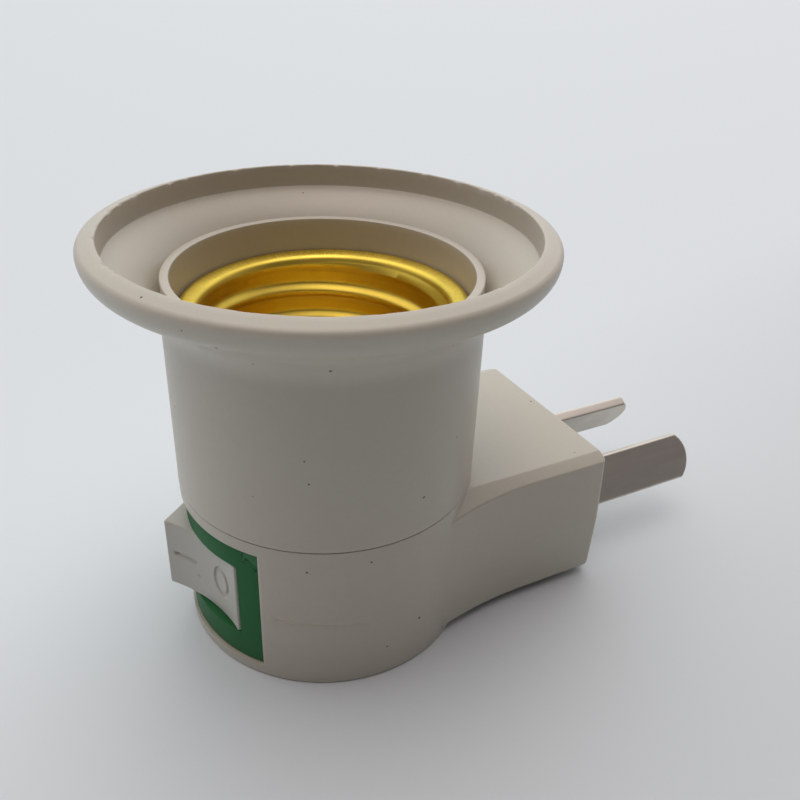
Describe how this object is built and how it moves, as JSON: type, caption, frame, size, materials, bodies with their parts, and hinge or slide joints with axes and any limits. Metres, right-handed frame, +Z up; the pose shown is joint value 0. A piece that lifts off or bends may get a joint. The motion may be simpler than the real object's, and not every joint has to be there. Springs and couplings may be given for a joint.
{
  "type": "lamp socket adapter",
  "caption": "Plug-in lamp socket adapter: bell-mouthed screw socket on a round base, with a side plug block, two slanted flat blades and a rocker switch.",
  "frame": {"origin": "centre of the drum's flat base", "axes": "+Z up along the socket's axis, towards the bell mouth; +X towards the plug blades, so the rocker switch faces -X; -Y is the near side in the picture"},
  "size_m": [0.0776, 0.049, 0.0483],
  "materials": {
    "ivory_plastic": "satin ivory moulding",
    "rocker_ivory": "satin ivory moulding",
    "green_plastic": "semi-gloss green moulding",
    "gilt_brass": "bright drawn brass",
    "blade_metal": "satin nickel-plated brass",
    "contact_copper": "rolled phosphor bronze",
    "contact_silver": "silver contact face",
    "plated_steel": "zinc-plated steel",
    "carrier_insulator": "matt pale insulator",
    "holder_nylon": "matt black nylon",
    "brown_lead": "brown insulated lead",
    "blue_lead": "blue insulated lead"
  },
  "bodies": {
    "housing": {"upper_shell": "ivory_plastic", "lower_housing": "ivory_plastic", "switch_frame": "green_plastic", "common_terminal": "gilt_brass", "load_terminal": "gilt_brass", "fixed_contact": "contact_silver", "near_blade": "blade_metal", "far_blade": "blade_metal", "blade_holder": "holder_nylon", "contact_carrier": "carrier_insulator", "screw_shell": "gilt_brass", "centre_contact": "contact_copper", "centre_rivet": "gilt_brass", "shell_rivet": "gilt_brass", "near_carrier_screw": "plated_steel", "far_carrier_screw": "plated_steel", "live_wire": "brown_lead", "switched_wire": "brown_lead", "neutral_wire": "blue_lead"},
    "switch_rocker": {"rocker": "rocker_ivory", "switch_plunger": "plated_steel", "plunger_spring": "plated_steel"},
    "switch_lever": {"contact_lever": "contact_copper", "lever_contact": "contact_silver"}
  },
  "joints": [
    {"name": "rocker_hinge", "type": "hinge", "parent": "housing", "child": "switch_rocker", "pos_m": [-0.01035, 0, 0.00968], "axis": [0, 0, -1], "range_deg": [0, 44.6]},
    {"name": "lever_hinge", "type": "hinge", "parent": "housing", "child": "switch_lever", "pos_m": [-0.0045, 0, 0.00968], "axis": [0, 0, 1], "range_deg": [0, 15.6]}
  ],
  "couplings": [
    {"joint": "lever_hinge", "follows": "rocker_hinge", "ratio": 0.3497}
  ]
}
